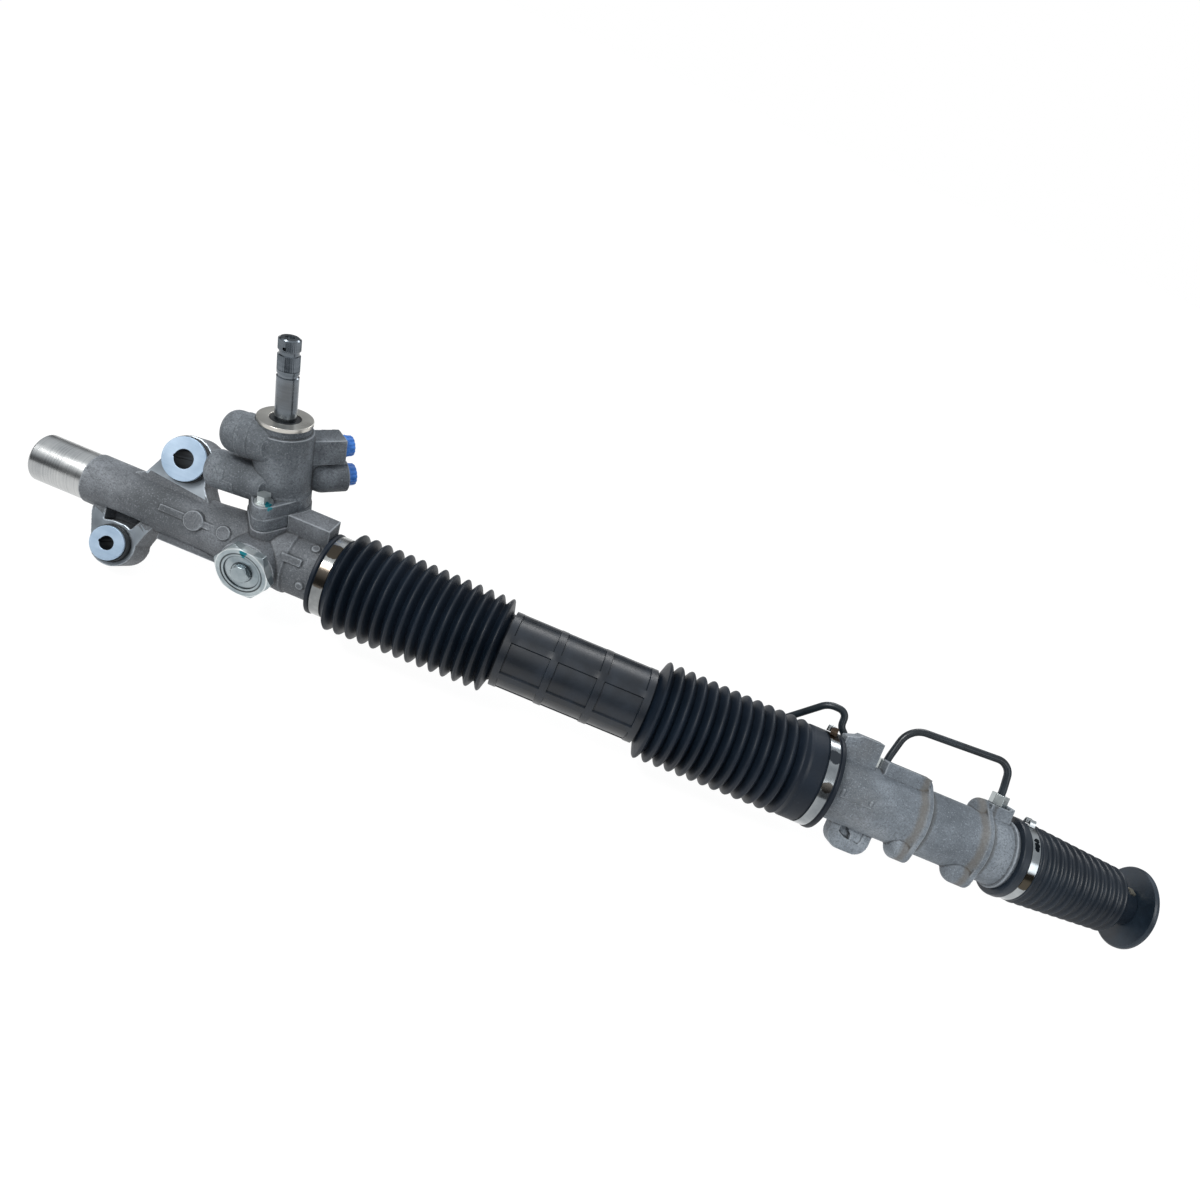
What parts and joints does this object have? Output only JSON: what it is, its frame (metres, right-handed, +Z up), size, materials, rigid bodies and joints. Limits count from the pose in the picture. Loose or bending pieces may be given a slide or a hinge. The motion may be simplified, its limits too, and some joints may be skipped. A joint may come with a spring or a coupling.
{
  "type": "steering rack",
  "caption": "Hydraulic rack and pinion steering gear with a central tie rod take-off, bellows boots, valve shaft and power cylinder.",
  "frame": {"origin": "on the rack axis, midway between the two tie rod bolts, with the rack centred", "axes": "+X along the rack from the valve end to the cylinder end, +Z up in the plane that holds the leaning valve shaft, -Y towards the side of the rack guide nut"},
  "size_m": [1.0009, 0.1127, 0.2372],
  "materials": {
    "gear_housing_cast": "sand cast, matt warm grey",
    "valve_body_cast": "cast, matt darker grey",
    "cylinder_cast": "cast and brushed, light cool grey",
    "bright_tube": "drawn steel, satin",
    "tube_steel": "drawn steel, oiled",
    "zinc_plate": "zinc plated",
    "machined_steel": "turned, satin",
    "shaft_steel": "ground and polished",
    "rack_steel": "ground, lightly oiled",
    "bearing_steel": "ground",
    "spring_steel": "oiled spring steel",
    "band_steel": "stainless strip",
    "bush_steel": "yellow passivated",
    "gland_metal": "turned",
    "guide_metal": "die cast",
    "pipe_coat": "dark slate coating, satin",
    "disc_coat": "dark slate coating, satin",
    "pipe_nut_steel": "zinc plated",
    "boot_rubber": "moulded, satin",
    "bush_rubber": "moulded, matt",
    "seal_rubber": "moulded",
    "sleeve_plastic": "moulded, satin",
    "ring_plastic": "filled plastic ring",
    "cap_blue": "moulded transit cap"
  },
  "bodies": {
    "housing": {"gear_housing": "gear_housing_cast", "end_tube": "bright_tube", "end_plug": "bright_tube", "guide_screw": "zinc_plate", "guide_locknut": "zinc_plate", "lower_cap": "zinc_plate", "rack_guide": "guide_metal", "guide_spring": "spring_steel", "pinion_lower_bearing": "bearing_steel", "pinion_upper_bearing": "bearing_steel", "shaft_bearing": "bearing_steel", "pinion_seal": "seal_rubber", "shaft_seal": "seal_rubber", "valve_body": "valve_body_cast", "valve_bolts": "zinc_plate", "top_ring": "machined_steel", "port_cap_upper": "cap_blue", "port_cap_lower": "cap_blue", "centre_tube": "tube_steel", "left_boot": "boot_rubber", "right_boot": "boot_rubber", "left_boot_band": "band_steel", "right_boot_band": "band_steel", "cylinder_housing": "cylinder_cast", "inner_gland": "gland_metal", "rod_seal": "seal_rubber", "gland_o_ring": "seal_rubber", "cylinder_plug": "gland_metal", "plug_o_ring": "seal_rubber", "plug_circlip": "spring_steel", "small_boot": "boot_rubber", "small_boot_band": "band_steel", "end_flange": "disc_coat", "vent_clip": "band_steel", "pipe_long": "pipe_coat", "pipe_bridge": "pipe_coat", "flare_nuts": "pipe_nut_steel", "bush_a_sleeve": "bush_steel", "bush_a_rubber": "bush_rubber", "bush_b_sleeve": "bush_steel", "bush_b_rubber": "bush_rubber"},
    "rack": {"rack_bar": "rack_steel", "piston": "rack_steel", "piston_ring": "ring_plastic", "piston_nut": "machined_steel", "takeoff_block": "machined_steel", "takeoff_screw": "zinc_plate", "centre_sleeve": "sleeve_plastic"},
    "pinion": {"pinion": "rack_steel", "torsion_bar": "rack_steel", "valve_sleeve": "machined_steel", "sleeve_rings": "ring_plastic", "input_shaft": "shaft_steel"}
  },
  "joints": [
    {"name": "rack_slide", "type": "slide", "parent": "housing", "child": "rack", "axis": [1, 0, 0], "range_m": [-0.068, 0.068], "deforming": ["left_boot", "right_boot"]},
    {"name": "pinion_spin", "type": "hinge", "parent": "housing", "child": "pinion", "pos_m": [-0.277, 0.0175, 0], "axis": [-0.0872, 0, 0.9962], "range_deg": [-485.2, 485.2]}
  ],
  "couplings": [
    {"joint": "pinion_spin", "follows": "rack_slide", "rad_per_m": 124.52}
  ]
}
